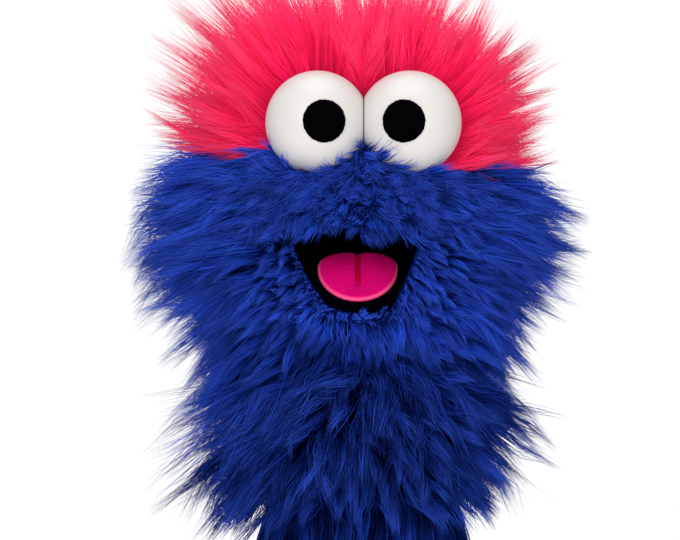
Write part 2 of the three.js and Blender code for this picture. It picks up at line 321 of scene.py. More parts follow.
def scatter(surface, count, rng, keep):
    """Random places on a grid surface, with the way out at each: cells are drawn by their area where keep
    is true, and a place inside a cell is a blend of its four corners."""
    a, b, c, d = surface[:-1, :-1], surface[:-1, 1:], surface[1:, 1:], surface[1:, :-1]
    across = np.cross(c - a, d - b).reshape(-1, 3)
    area = np.linalg.norm(across, axis=-1) * keep(((a + b + c + d) / 4).reshape(-1, 3))
    cell = rng.choice(area.size, count, p=area / area.sum())
    s, t = rng.random((2, count, 1))
    a, b, c, d = (part.reshape(-1, 3)[cell] for part in (a, b, c, d))
    places = (a * (1 - s) + b * s) * (1 - t) + (d * (1 - s) + c * s) * t
    return places, unit(across[cell])


# ---- Hair ----


class Coat(NamedTuple):
    """How a patch of fur grows."""

    hairs: int
    tufts: int
    rise: float  # 0 lies flat at the root, 1 stands straight out
    splay: float  # the same at the tip
    weight: float  # how much the tip hangs
    clump: float  # how far a tuft's hairs come together
    mess: float
    curl: float
    rings: int


class Patch(NamedTuple):
    """A surface, where on it hair grows, its share of the hairs, how much more they stand up than the
    coat says (up to 1), and their size."""

    surface: np.ndarray
    keep: Callable = everywhere
    share: float = 1.0
    stand: float = 0.0
    size: float = 1.0


class Groom(NamedTuple):
    """Three rules that give, for places on the skin, the way that the hair is combed, its length, and its
    shade from 0 (dark) to 1 (pale)."""

    combing: Callable
    lengths: Callable
    shade: Callable


def seeded(patches, count, rng):
    """Places over several patches, the way out at each, how much its hair stands, and its size."""
    total = sum(patch.share for patch in patches)
    found = []
    for patch in patches:
        number = max(4, int(count * patch.share / total))
        place, out = scatter(patch.surface, number, rng, patch.keep)
        found.append(np.hstack([place, out, np.tile([patch.stand, patch.size], (number, 1))]))
    table = np.concatenate(found)
    return table[:, :3], table[:, 3:6], table[:, 6:7], table[:, 7]


def nearest(points, centres):
    """The index of the nearest centre to each point."""
    step = max(1, 4_000_000 // len(centres))
    found = [
        np.argmin(((points[i : i + step, None] - centres[None]) ** 2).sum(-1), 1)
        for i in range(0, len(points), step)
    ]
    return np.concatenate(found)


def kept_outside_eyes(points):
    """Points inside an eye ball moved straight out to its surface."""
    reach = EYE_RADIUS + 0.0006
    for centre in EYE_CENTRES.values():
        away = points - centre
        far = np.linalg.norm(away, axis=-1, keepdims=True)
        points = np.where(far < reach, centre + away / np.maximum(far, 1e-9) * reach, points)
    return points


def kept_in_room(points):
    """Points beyond the room that the puppet takes up drawn in to it, more the further out they are."""
    inner, limit = ROOM
    over = np.maximum(np.abs(points) - inner, 0)
    span = limit - inner
    points = np.sign(points) * (np.minimum(np.abs(points), inner) + span * np.tanh(over / span))
    points[..., 2] = np.maximum(points[..., 2], 0.0015)
    return points


def hair_line(root, ways, length, t):
    """A hair's middle line: it leaves along the first way and ends along the last, so it is the root plus
    the length times first * (t - t*t/2) + last * t*t/2."""
    first, last = ways
    t = t[..., None]
    way = first[:, None] * (t - t * t / 2) + last[:, None] * t * t / 2
    return root[:, None] + length[:, None, None] * way


def hair_ways(coat, combing, root, out, stand, mess):
    """The ways that hairs leave the skin and end: a blend of straight out and along the comb, with the
    tip hanging by the coat's weight."""
    comb = combing(root)
    comb = unit(comb - (comb * out).sum(-1, keepdims=True) * out)
    rise = coat.rise + (1 - coat.rise) * stand
    splay = coat.splay + (1 - coat.splay) * stand
    down = np.array([0.0, 0.0, -coat.weight])
    first = out * rise + comb * (1 - rise) + mess * 0.5
    last = out * splay + comb * (1 - splay) + down + mess
    return unit(first), unit(last)


def hair_lines(patches, coat, groom, count, rng):
    """The middle line of every hair of a piece, and each hair's shade. Each hair comes together with the
    others of its tuft towards the tuft's own line, and sways by a sine of the way along it."""
    root, out, stand, size = seeded(patches, count, rng)
    tuft_root, tuft_out, tuft_stand, tuft_size = seeded(patches, coat.tufts, rng)
    count, tufts = len(root), len(tuft_root)
    tuft = nearest(root, tuft_root)
    tuft_mess = rng.normal(0, coat.mess, (tufts, 3))
    mess = tuft_mess[tuft] + rng.normal(0, coat.mess * 0.4, (count, 3))
    vary = 0.72 + 0.55 * rng.random(tufts) ** 1.8
    length = groom.lengths(root) * size * vary[tuft] * (1 - 0.45 * rng.random(count) ** 1.6)
    tuft_length = groom.lengths(tuft_root) * tuft_size * vary

    t = np.broadcast_to(np.linspace(0, 1, coat.rings + 1), (count, coat.rings + 1))
    line = hair_line(root, hair_ways(coat, groom.combing, root, out, stand, mess), length, t)
    first, last = hair_ways(coat, groom.combing, tuft_root, tuft_out, tuft_stand, tuft_mess)
    along = t * (length / np.maximum(tuft_length[tuft], 1e-6))[:, None]
    lock = hair_line(tuft_root[tuft], (first[tuft], last[tuft]), tuft_length[tuft], along)
    loose = np.clip(rng.normal(1.0, 0.16, (count, 1)), 0.1, 1.1)
    line = line + (coat.clump * loose * t)[..., None] * (lock - line)

    sway = unit(np.cross(last, rng.normal(0, 1, (tufts, 3))))[tuft][:, None]
    phase = rng.uniform(0, FULL_TURN, tufts)[tuft][:, None]
    wave = (np.sin(t * 4.5 + phase) - np.sin(phase)) * t * coat.curl * length[:, None]
    line = line + (sway + rng.normal(0, 0.35, (count, 1, 3))) * wave[..., None]
    line = kept_in_room(kept_outside_eyes(line))
    shade = groom.shade(root) + rng.normal(0, 0.13, tufts)[tuft] + rng.normal(0, 0.17, count)
    return line, shade


def grow(name, patches, coat, groom, seed):
    """Fur: each hair is a closed three-sided tube that tapers along its middle line to a point. The UV
    map holds its shade across, and the way from root to tip upwards."""
    sizes = bpy.context.scene.puppet_sizes
    rng = np.random.default_rng(seed)
    count = max(200, int(coat.hairs * sizes.hair_share))
    line, shade = hair_lines(patches, coat, groom, count, rng)
    count, rings = len(line), coat.rings
    t = np.linspace(0, 1, rings + 1)[:-1]

    along = unit(np.gradient(line, axis=1))
    side = unit(np.cross(along, rng.normal(0, 1, (count, 1, 3))))[:, :-1]
    other = np.cross(along[:, :-1], side)
    thick = sizes.hair_width / 2 * (1 - 0.8 * t**1.4) * rng.uniform(0.7, 1.2, (count, 1))
    corner = FULL_TURN / 3 * np.arange(3)[:, None]
    ways = side[:, :, None] * np.cos(corner) + other[:, :, None] * np.sin(corner)
    ring = line[:, :-1, None] + ways * thick[..., None, None]
    points = np.concatenate([ring.reshape(count, -1, 3), line[:, -1:]], 1)

    u = np.clip(shade, 0.0, 0.98)[:, None] + np.append(np.tile([0.0, 0.008, 0.016], rings), 0.008)
    v = np.append(np.repeat(t * 0.985, 3) + np.tile([0.0, 0.006, 0.0], rings), 0.998)
    uv = np.stack([u, np.broadcast_to(v, u.shape)], -1)

    faces = [[0, 2, 1]]
    for low in range(0, 3 * rings - 3, 3):
        for a, b in ((0, 1), (1, 2), (2, 0)):
            faces += [[low + a, low + b, low + b + 3], [low + a, low + b + 3, low + a + 3]]
    tip, top = 3 * rings, 3 * rings - 3
    faces += [[top, top + 1, tip], [top + 1, top + 2, tip], [top + 2, top, tip]]
    every = np.arange(count)[:, None, None] * (tip + 1) + np.array(faces)
    return mesh_object(name, points.reshape(-1, 3), every.reshape(-1, 3), uv.reshape(-1, 2))


def fan(centre, wide=1.0, deep=0.3):
    """A comb that leads the hair away from a point, more or less across and front to back."""
    return lambda place: (place - np.array(centre)) * np.array([wide, deep, 1.0])


def fuller_left(root):
    """The fur is longer on the left than on the right."""
    return 1 - 0.12 * np.tanh(root[:, 0] / 0.03)


# ---- Finishes ----

LOOK = "look_"


def new_material(name):
    """A material with its shader, and the tree to put nodes in. Its name starts differently from those of
    the frame's own plain materials."""
    material = bpy.data.materials.new(LOOK + name)
    material.use_nodes = True
    tree = material.node_tree
    shader = next(n for n in tree.nodes if n.type == "BSDF_PRINCIPLED")
    return material, tree, shader


def fill(tree, node, values):
    """Puts a number, a colour or another node's socket in each input that is named."""
    for key, value in values.items():
        if isinstance(value, bpy.types.NodeSocket):
            tree.links.new(value, node.inputs[key])
        else:
            node.inputs[key].default_value = value
    return node


def add(tree, kind, values=None, **settings):
    """A new node with its settings made and its inputs filled."""
    node = tree.nodes.new("ShaderNode" + kind)
    for key, value in settings.items():
        setattr(node, key, value)
    return fill(tree, node, values or {})


def own_place(tree):
    """The place on the piece in metres."""
    return add(tree, "TexCoord").outputs["Object"]


def noise(tree, scale, detail, rough=0.5):
    """A cloudy value from 0 to 1."""
    values = {"Vector": own_place(tree), "Scale": scale, "Detail": detail, "Roughness": rough}
    return add(tree, "TexNoise", values).outputs["Fac"]


def bumped(tree, height, strength, distance):
    """The way out of a surface that a value raises."""
    values = {"Strength": strength, "Distance": distance, "Height": height}
    return add(tree, "Bump", values).outputs["Normal"]


def ramp(tree, value, stops):
    """A colour ramp of two or three stops driven by a socket."""
    node = add(tree, "ValToRGB", {"Fac": value})
    elements = node.color_ramp.elements
    while len(elements) < len(stops):
        elements.new(0.5)
    for element, (place, colour) in zip(elements, stops):
        element.position = place
        element.color = (*colour, 1.0)
    return node.outputs["Color"]


def shade_of(colour, times, lift=0.0):
    """A colour made darker or lighter, and paler by lift."""
    return tuple(min(1.0, max(0.0, c * times + lift)) for c in colour)


def mixed(tree, factor, first, second, blend="MIX"):
    """Two colours mixed by a socket or a number."""
    values = {0: factor, 6: first, 7: second}
    return add(tree, "Mix", values, data_type="RGBA", blend_type=blend).outputs[2]


def changed(tree, value, low, high, first, last):
    """A smooth change from one number to another as a value goes from low to high."""
    values = {"Value": value, "From Min": low, "From Max": high, "To Min": first, "To Max": last}
    return add(tree, "MapRange", values, interpolation_type="SMOOTHSTEP").outputs["Result"]


def calculated(tree, operation, *values):
    """The result of a sum on one or two numbers or sockets."""
    return add(tree, "Math", dict(enumerate(values)), operation=operation).outputs[0]


def fur_finish(name, root, colour, tip, dark, pale, glow=0.0):
    """Pile fabric: each hair runs from a root colour by the middle colour to a tip colour, and the shade
    across the map takes it from a darker to a paler version of all three, given as two multiples. A root
    colour darker than the middle is painted shade deep in the fur, and a paler tip colour is a painted
    highlight. A faint glow stands for the light that passes through pale hair."""
    material, tree, shader = new_material(name)
    split = add(tree, "SeparateXYZ", {0: add(tree, "UVMap", uv_map=MAP_NAME).outputs["UV"]})
    versions = []
    for times in (dark, pale):
        stops = [(place, shade_of(each, times)) for place, each in ((0.0, root), (0.5, colour), (1.0, tip))]
        versions.append(ramp(tree, split.outputs["Y"], stops))
    values = {
        "Base Color": mixed(tree, split.outputs["X"], *versions),
        "Roughness": 0.7,
        "Specular IOR Level": 0.0,
        "Emission Color": (*colour, 1.0),
        "Emission Strength": glow,
    }
    fill(tree, shader, values)
    return material


def cloth_finish(name, colour, scale, depth, roughness=0.9, spread=0.25, gloss=0.12):
    """Felt, foam or cloth: a fine uneven colour and a bump of the same grain."""
    material, tree, shader = new_material(name)
    fine = noise(tree, scale, 5.0, 0.7)
    broad = noise(tree, scale / 14, 2.0)
    body = ramp(tree, fine, [(0.3, shade_of(colour, 1 - spread)), (0.7, shade_of(colour, 1 + spread))])
    cloud = ramp(tree, broad, [(0.3, (0.86,) * 3), (0.7, (1.0,) * 3)])
    values = {
        "Base Color": mixed(tree, 1.0, body, cloud, "MULTIPLY"),
        "Normal": bumped(tree, fine, 0.6, depth),
        "Roughness": roughness,
        "Specular IOR Level": gloss,
    }
    fill(tree, shader, values)
    return material


def weave_finish(name, colour, pitch):
    """Woven elastic or lining: two sets of fine ribs across each other."""
    material, tree, shader = new_material(name)
    wave = {"Vector": own_place(tree), "Scale": 0.3 / pitch, "Distortion": 0.4, "Detail": 1.0}
    ribs = [add(tree, "TexWave", wave, bands_direction=way).outputs["Fac"] for way in ("X", "DIAGONAL")]
    both = calculated(tree, "MULTIPLY", *ribs)
    body = ramp(tree, both, [(0.1, shade_of(colour, 0.6)), (0.9, shade_of(colour, 1.3))])
    normal = bumped(tree, both, 0.5, 0.0004)
    fill(tree, shader, {"Base Color": body, "Normal": normal, "Roughness": 0.8})
    return material


def eye_finish(name, colour):
    """Moulded plastic with a soft gloss and faint unevenness."""
    material, tree, shader = new_material(name)
    grain = noise(tree, 60.0, 4.0)
    rough = add(tree, "MapRange", {"Value": grain, "To Min": 0.32, "To Max": 0.42})
    values = {
        "Base Color": ramp(tree, grain, [(0.35, shade_of(colour, 0.97)), (0.65, tuple(colour))]),
        "Roughness": rough.outputs["Result"],
        "Normal": bumped(tree, grain, 0.05, 0.0002),
        "Specular IOR Level": 0.45,
        "Coat Weight": 0.1,
        "Coat Roughness": 0.25,
    }
    fill(tree, shader, values)
    return material


def tongue_finish(name, colour):
    """Pink felt with a darker line down its middle, painted shade in the groove, and a paler cut edge."""
    material = cloth_finish(name, colour, 800.0, 0.0006, 0.85, 0.34, 0.0)
    tree = material.node_tree
    shader = next(n for n in tree.nodes if n.type == "BSDF_PRINCIPLED")
    body = shader.inputs["Base Color"].links[0].from_socket
    place = add(tree, "SeparateXYZ", {0: own_place(tree)})
    across = calculated(tree, "SUBTRACT", place.outputs["X"], TONGUE_SIDE)
    # Painted shade: the colour darkens near the groove's middle line, fading out towards the tip.
    near = changed(tree, calculated(tree, "ABSOLUTE", across), 0.0012, 0.0023, 1.0, 0.0)
    end = opened(np.array([0.0, -0.050, 0.0]))[2]
    long = changed(tree, place.outputs["Z"], end - 0.0015, end + 0.003, 0.0, 1.0)
    dark = (colour[0] * 0.55, colour[1] * 0.3, colour[2] * 0.3, 1.0)
    groove_painted_shade = mixed(tree, calculated(tree, "MULTIPLY", near, long), body, dark)
    edge = add(tree, "Attribute", attribute_name="edge").outputs["Fac"]
    pale = (*shade_of(colour, 0.85, 0.12), 1.0)
    fill(tree, shader, {"Base Color": mixed(tree, calculated(tree, "MULTIPLY", edge, 0.7), groove_painted_shade, pale)})
    return material


def pale_finish(name, value, glow):
    """A nearly even pale surface that gives a little light of its own."""
    material, tree, shader = new_material(name)
    cloud = add(tree, "TexNoise", {"Scale": 3.0}).outputs["Fac"]
    values = {
        "Base Color": ramp(tree, cloud, [(0.3, (value * 0.99,) * 3), (0.7, (value,) * 3)]),
        "Roughness": 0.9,
        "Emission Color": (1.0, 1.0, 1.0, 1.0),
        "Emission Strength": glow,
    }
    fill(tree, shader, values)
    return material


def finish(name, make, *values):
    """A material by name, made the first time that it is asked for."""
    return bpy.data.materials.get(LOOK + name) or make(name, *values)


def pink_fur():
    pink = tuple(bpy.context.scene.puppet_colours.pink)
    # The slightly darker root is painted shade deep in the fur, the paler tip a painted highlight, and the
    # glow of 0.15 is painted light passing through the hair.
    root, tip = shade_of(pink, 1.0, -0.015), shade_of(pink, 1.0, 0.055)
    return finish("pink_fur", fur_finish, root, pink, tip, 0.74, 1.35, 0.15)


def blue_fur():
    blue = tuple(bpy.context.scene.puppet_colours.blue)
    # The roots darkened to about a quarter are painted shade deep in the fur; the paler tips are a painted
    # highlight.
    root, tip = shade_of(blue, 0.26), shade_of(blue, 1.6, 0.013)
    return finish("blue_fur", fur_finish, root, blue, tip, 0.22, 1.95)


def pink_pelt():
    # Darker than the pink hair: painted shade, the cloth taking the shaded colour of the fur's roots.
    return finish("pink_pelt", cloth_finish, (0.55, 0.004, 0.045), 900.0, 0.001, 0.95, 0.4, 0.0)


def blue_pelt():
    # Far darker than the blue hair: painted shade, the cloth taking the shaded colour of the fur's roots.
    return finish("blue_pelt", cloth_finish, (0.003, 0.008, 0.085), 900.0, 0.001, 0.95, 0.5, 0.0)


def dress(piece, material, *nodes, body=None, blend=None, slot=None):
    """A finish, a body to move with or a blend, which leaves the piece fixed where it stands, the solids it
    stands for, and its slot, which is not used.
    """
    piece.data.materials.append(material)
    if blend:
        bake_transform(piece)
    else:
        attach(piece, body)
    if nodes:
        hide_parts(*nodes)
    return piece


def blue_hair(name, patches, coat, groom, seed, *nodes, **moving):
    """A piece of blue fur, and the body that it moves with, or a blend that leaves it fixed where it stands.
    """
    dress(grow(name, patches, coat, groom, seed), blue_fur(), *nodes, slot="blue_fur", **moving)


def blue_cloth(piece, **moving):
    """The blue cloth under the fur, and the body that it moves with, or a blend that leaves it fixed where it
    stands.
    """
    dress(piece, blue_pelt(), slot="blue_fur", **moving)


# ---- Fur pieces ----

SKIN_OUT, SKIN_IN = 0.0016, 0.0005  # how far the cloth's two sides lie over the foam
ROLL_CLOTH, LEDGE_CLOTH = 0.0012, 0.0014  # how thick it is at the lips
NECK_TOP = 0.200
SLEEVE_FOOT = 0.011
HEAD_BLEND = ("head", "jaw", (0, -0.02, 0.262), (0, -0.02, 0.226))
NECK_BLEND = ("neck", "head", (0, WRIST[1], 0.150), (0, WRIST[1], 0.205))


def grown_head(turns=(-180, 180), rises=(-62, 90), grow_by=SKIN_OUT):
    return form_points(HEAD, *angles(turns, rises, 145, 97), grow_by)


def head_pelt(name, turns, rises, test):
    """The cloth under the fur, where a test is true."""
    outer = grown_head(turns, rises)
    return shell(name, outer, grown_head(turns, rises, SKIN_IN), cell_keep(outer, test))


def even(value):
    """A rule that gives every place the same value."""
    return lambda root: np.full(len(root), value)


def smooth(value, low, high):
    """0 below low, 1 above high, and a smooth step between."""
    t = np.clip((value - low) / (high - low), 0, 1)
    return t * t * (3 - 2 * t)


class PUPPET_OT_pink_fur(bpy.types.Operator):
    """The cap of long pink fur, in two halves: its hair radiates up and out from the eyes"""

    bl_idname = "puppet.pink_fur"
    bl_label = "Pink cap"

    def execute(self, context):
        sizes = context.scene.puppet_sizes
        coat = Coat(12000, 420, 0.60, 0.68, -0.10, 0.80, 0.16, 0.05, 2)

        def above_hairline(p):
            bridge = (np.abs(p[..., 0]) < 0.030) & (p[..., 2] < 0.332) & (p[..., 1] < -0.03)
            return (p[..., 2] > hairline(p)) & clear_of_eyes(p, 0.0003) & ~bridge

        def outer_eye(p, side):
            return (p[..., 2] > 0.3060) & (p[..., 0] * side > 0.003) & clear_of_eyes(p, -0.002)

        def lengths(root):
            ahead = smooth(-root[:, 1], 0.030, 0.060)
            parting = 0.30 * np.exp(-(((root[:, 0] + 0.011) / 0.004) ** 2))
            high = 1.06 + 0.46 * smooth(root[:, 2], 0.312, 0.348)
            return sizes.pink_length * fuller_left(root) * (1 - 0.28 * ahead) * high * (1 - parting)

        def shade(root):
            # Paler towards the top, a painted highlight where light falls from above; darker towards the
            # front.
            return 0.42 + 0.16 * smooth(root[:, 2], 0.325, 0.36) - 0.14 * smooth(-root[:, 1], 0.04, 0.06)

        groom = Groom(fan((0.0, -0.060, 0.298), deep=0.25), lengths, shade)
        for side, name in EYES.items():
            turns = (-180, 0) if side < 0 else (0, 180)
            collar = eye_collar(side)
            round_eye = lambda p, side=side: outer_eye(p, side)
            patches = [Patch(grown_head(turns), above_hairline, 6), Patch(collar, round_eye, 1, 0.1, 0.75)]
            fur = grow(f"pink_hair_{name}", patches, coat, groom, 12 + side)
            dress(fur, pink_fur(), f"pink_fur_{name}", body="head", slot="pink_fur")
            test = lambda p: (p[..., 2] > 0.304) & clear_of_eyes(p, 0.001)
            pelt = head_pelt(f"pink_pelt_{name}", turns, (0, 90), test)
            dress(pelt, pink_pelt(), body="head", slot="pink_fur")
            under, keep = eye_collar(side, -ROLL_CLOTH), cell_keep(collar, round_eye)
            ring = shell(f"eye_collar_{name}", collar, under, keep)
            dress(ring, pink_pelt(), body="head", slot="pink_fur")
        return {"FINISHED"}


LIP_REST = 0.006  # how far the fur stands out past the mouth's rim at the least


def eye_collar(side, grow_by=0.0, rows=17, columns=97):
    """The cloth behind an eye: a cone that widens from the ball's rear edge back to the head."""
    turn, t = np.meshgrid(np.linspace(FULL_TURN, 0, columns), np.linspace(0, 1, rows))
    radius = EYE_RADIUS * 0.86 + 0.012 * t + grow_by
    x = side * EYE_OUT + np.cos(turn) * radius
    return np.stack([x, EYE_REAR - 0.001 + 0.032 * t, EYE_HEIGHT + np.sin(turn) * radius], -1)


def lip_side(jaw, share, height):
    """Beside each point of the mouth's rim: its place on the form at a height from the hinge's level, and
    how far the fur's edge stands out from there at the height of the rim."""
    form, level = (JAW, -0.0042) if jaw else (HEAD, 0.0048)
    base = form.z if jaw else form.z - HINGE[2]
    x, y = lip_curve(share, 0.0004)
    turn = np.arctan2(x, form.y - y)

    def at(z):
        part = np.abs(z - base) / np.where(z < base, form.bottom, form.top)
        rise = np.copysign(np.arcsin(part ** (form.power / 2)), z - base)
        return form_points(form, turn, rise, 0.0018)

    edge = at(np.full_like(x, level))
    middle_y = np.array([0.0, form.y])
    reach = np.linalg.norm(np.stack([x, y], -1) - middle_y, axis=-1)
    past = np.linalg.norm(edge[..., :2] - middle_y, axis=-1)
    way = unit(np.stack([x, y - form.y], -1))
    out = np.maximum(reach + LIP_REST - past, 0.0)
    place = at(level + height)
    place[..., 2] = level + height
    return place, np.concatenate([way, np.zeros_like(way[..., :1])], -1) * out[..., None]


def lip_band(jaw, drop=0.0, rows=9, columns=73):
    """The ledge from the mouth's rim out to the fur's edge: straight lines."""
    share, out = np.meshgrid(np.linspace(0, 1, columns), np.linspace(0, 1, rows))
    place, past = lip_side(jaw, share, np.zeros_like(share))
    edge = place + past
    x, y = lip_curve(share, -0.0003)
    rim = np.stack([x, y, np.sign(edge[..., 2]) * 0.0031], -1)
    flat = rim + (edge - rim) * out[..., None]
    flat[..., 2] += -drop if jaw else drop
    return opened(flat) if jaw else flat + HINGE


def lip_roll(jaw, drop=0.0, high=0.018, rows=17, columns=73):
    """From the ledge's outer edge back on to the form. It leaves the edge upright, its distance past the
    form going with 1 - t * t up (or down) the roll."""
    share, t = np.meshgrid(np.linspace(0, 1, columns), np.linspace(0, 1, rows))
    place, past = lip_side(jaw, share, t * (-high if jaw else high))
    shrink = np.linalg.norm(past, axis=-1, keepdims=True)
    flat = place + past * (1 - t[..., None] ** 2) - unit(past) * np.where(shrink > 0, drop, 0)
    return opened(flat) if jaw else flat + HINGE


def face_lengths(sizes):
    """Short above the mouth, shorter still where its edge lifts left of the middle and longer where it
    droops on the right, and long at the sides."""

    def lengths(root):
        x = root[:, 0]
        low = smooth(-root[:, 2], -0.292, -0.280)
        lifted = 0.30 * np.exp(-(((x + 0.011) / 0.009) ** 2))
        droop = 0.25 * np.exp(-(((x - 0.012) / 0.009) ** 2))
        short = sizes.face_length * (1 + 0.55 * smooth(np.abs(x), 0.02, 0.06)) * (1 + low * (droop - lifted))
        short = short * (1 - 0.30 * low)
        return short + (sizes.side_length - short) * smooth(np.abs(x), 0.046, 0.064)

    return lambda root: lengths(root) * fuller_left(root)


class PUPPET_OT_face_fur(bpy.types.Operator):
    """The short fluffy fur between the eyes and the mouth, and the long tufts beside it"""

    bl_idname = "puppet.face_fur"
    bl_label = "Face fur"

    def execute(self, context):
        sizes = context.scene.puppet_sizes
        turns, rises = (-95, 95), (-20, 30)
        surface = grown_head(turns, rises)

        def face(p):
            level = (p[..., 2] > HINGE[2] + 0.003) & (p[..., 2] < hairline(p) + 0.002)
            return level & (p[..., 1] < 0.006) & clear_of_eyes(p, -0.003)

        centre = lambda p: face(p) & (np.abs(p[..., 0]) < 0.050)
        sides = lambda p: face(p) & (np.abs(p[..., 0]) >= 0.044)
        ahead = lambda p: (p[..., 1] < -0.040) & clear_of_eyes(p, 0)
        brow = lambda p: centre(p) & (p[..., 1] < -0.045) & ~clear_of_eyes(p, 0.010)
        comb = lambda place: fan((0.0, -0.075, 0.316), 1.7)(place) + [[0.0, 0.0, -0.004]]
        groom = Groom(comb, face_lengths(sizes), even(0.38))

        coat = Coat(18400, 330, 0.50, 0.34, 0.22, 0.42, 0.27, 0.15, 2)
        patches = [
            Patch(surface, centre, 5),
            Patch(lip_roll(False), ahead, 2, 0.15, 0.60),
            Patch(lip_band(False), everywhere, 1.2, 0.4, 0.16),
            Patch(surface, brow, 1.5, 0.92, 0.92),
        ]
        blue_hair("face_hair", patches, coat, groom, 21, "upper_face_fur", body="head")
        coat = Coat(11400, 380, 0.62, 0.66, 0.20, 0.93, 0.18, 0.09, 3)
        paler = groom._replace(shade=even(0.48))
        blue_hair("side_hair", [Patch(surface, sides)], coat, paler, 22, body="head")

        def under(p):
            level = (p[..., 2] > HINGE[2] + 0.003) & (p[..., 2] < 0.3035)
            return level & (p[..., 1] < 0.006) & clear_of_eyes(p, 0.001)

        blue_cloth(head_pelt("face_pelt", turns, rises, under), body="head")
        blue_cloth(shell("upper_lip_pelt", lip_band(False), lip_band(False, LEDGE_CLOTH)), body="head")
        front = lip_roll(False)
        roll = shell("muzzle_pelt", front, lip_roll(False, ROLL_CLOTH), cell_keep(front, ahead))
        blue_cloth(roll, body="head")
        return {"FINISHED"}


class PUPPET_OT_nape_fur(bpy.types.Operator):
    """The long blue fur at the back of the head, combed down"""

    bl_idname = "puppet.nape_fur"
    bl_label = "Nape fur"

    def execute(self, context):
        sizes = context.scene.puppet_sizes
        turns, rises = (85, 275), (-45, 30)

        def nape(p, gap=0.0):
            behind = (p[..., 1] > 0.004) & (p[..., 2] < hairline(p) + 0.002 - gap)
            return behind & (hinge_angle(p) > 112 + gap * 1000) & (p[..., 2] > 0.188)

        coat = Coat(7600, 220, 0.42, 0.40, 0.30, 0.66, 0.18, 0.07, 2)
        length = even(sizes.body_length * 0.90)
        groom = Groom(fan((0.0, 0.0, 0.330), 0.8), length, even(0.46))
        patch = Patch(grown_head(turns, rises), nape)
        blue_hair("nape_hair", [patch], coat, groom, 31, "nape_fur", body="head")
        blue_cloth(head_pelt("nape_pelt", turns, rises, lambda p: nape(p, 0.003)), body="head")
        return {"FINISHED"}


def chin_surface(grow_by):
    """The jaw's form with the mouth open, below its plate."""
    return opened(form_points(JAW, *angles((-150, 150), (-90, 2), 121, 65), grow_by))


class PUPPET_OT_chin_fur(bpy.types.Operator):
    """The fur of the lower jaw, short at the lip and long below, combed away from the mouth"""

    bl_idname = "puppet.chin_fur"
    bl_label = "Chin fur"

    def execute(self, context):
        sizes = context.scene.puppet_sizes
        surface, lip = chin_surface(SKIN_OUT), lip_band(True)[::-1]
        start = math.degrees(MOUTH_OPEN)

        def chin(p):
            turn = hinge_angle(p)
            return (turn > start + 4) & (turn < 98) & (p[..., 1] < 0.030)

        def lengths(root):
            below = smooth(hinge_angle(root) - start, 2, 36)
            beside = smooth(np.abs(root[:, 0]), 0.036, 0.062)
            short = sizes.face_length * 0.85
            behind = 1 - 0.70 * smooth(root[:, 1], -0.012, 0.022)
            length = short + (sizes.body_length - short) * np.maximum(below, beside)
            return length * fuller_left(root) * behind

        def shade(root):
            # Darker low on the chin: painted shade beneath the jaw.
            return 0.62 - 0.16 * smooth(-root[:, 2], -0.215, -0.195)

        comb = lambda root: fan((0.0, -0.050, 0.240), deep=0.4)(root) - [[0, 0, 0.014]]
        groom = Groom(comb, lengths, shade)
        coat = Coat(11200, 340, 0.54, 0.42, 0.34, 0.90, 0.20, 0.10, 2)
        for side, name in EYES.items():
            half = lambda p, side=side: chin(p) & (p[..., 0] * side >= 0)
            nodes = ["chin_fur"] if side < 0 else []
            blue_hair(f"chin_hair_{name}", [Patch(surface, half)], coat, groom, 42 + side, *nodes, body="jaw")
        coat = Coat(6500, 130, 0.52, 0.40, 0.24, 0.42, 0.27, 0.15, 2)
        patches = [
            Patch(lip, everywhere, 2, 0.2, 0.42),
            Patch(lip_roll(True, high=0.016)[::-1], everywhere, 3, 0.1, 0.9),
        ]
        blue_hair("lip_hair", patches, coat, groom, 44, body="jaw")
        wall = cell_keep(surface, lambda p: chin(p) & (hinge_angle(p) < 96))
        blue_cloth(shell("chin_pelt", surface, chin_surface(SKIN_IN), wall), body="jaw")
        blue_cloth(shell("lower_lip_pelt", lip_band(True), lip_band(True, LEDGE_CLOTH)), body="jaw")
        front = lip_roll(True, high=0.016)
        ahead = lambda p: (p[..., 1] < -0.030)
        roll = shell("chin_roll_pelt", front, lip_roll(True, ROLL_CLOTH, 0.016), cell_keep(front, ahead))
        blue_cloth(roll, body="jaw")
        return {"FINISHED"}


CHEEK_TURN = 50  # where the cloth at the mouth's corner meets the head's form


def cheek_sheet(side, back=0.0, rows=33, columns=25):
    """The cloth at a corner of the mouth. Its inner edge is a line from the upper rim to a place
    further forward on the lower rim, its outer edge an upright line on the head's form, and its rows are
    straight lines between the two. The inner edge bows outwards, its way in going with the way down to the
    power 1.6."""
    out, down = np.meshgrid(np.linspace(0, 1, columns), np.linspace(0, 1, rows))

    def rim(share, level):
        x, y = lip_curve(share if side < 0 else 1 - share, 0.0008)
        return np.array([x, y, level])

    high, low = (0.13, 0.375) if side < 0 else (0.26, 0.40)
    upper, lower = rim(high, 0.0048) + HINGE, opened(rim(low, -0.0042))
    turn = math.radians(CHEEK_TURN)
    edge = np.array([side * math.sin(turn) * HEAD.side, HEAD.y - math.cos(turn) * HEAD.front, 0.0])
    inner = upper + (lower - upper) * np.stack([down**1.6, down**1.6, down], -1)
    outer = edge + np.stack([0 * down, 0 * down, upper[2] + (0.222 - upper[2]) * down], -1)
    return inner + (outer - inner) * out[..., None] + [0.0, back, 0.0]


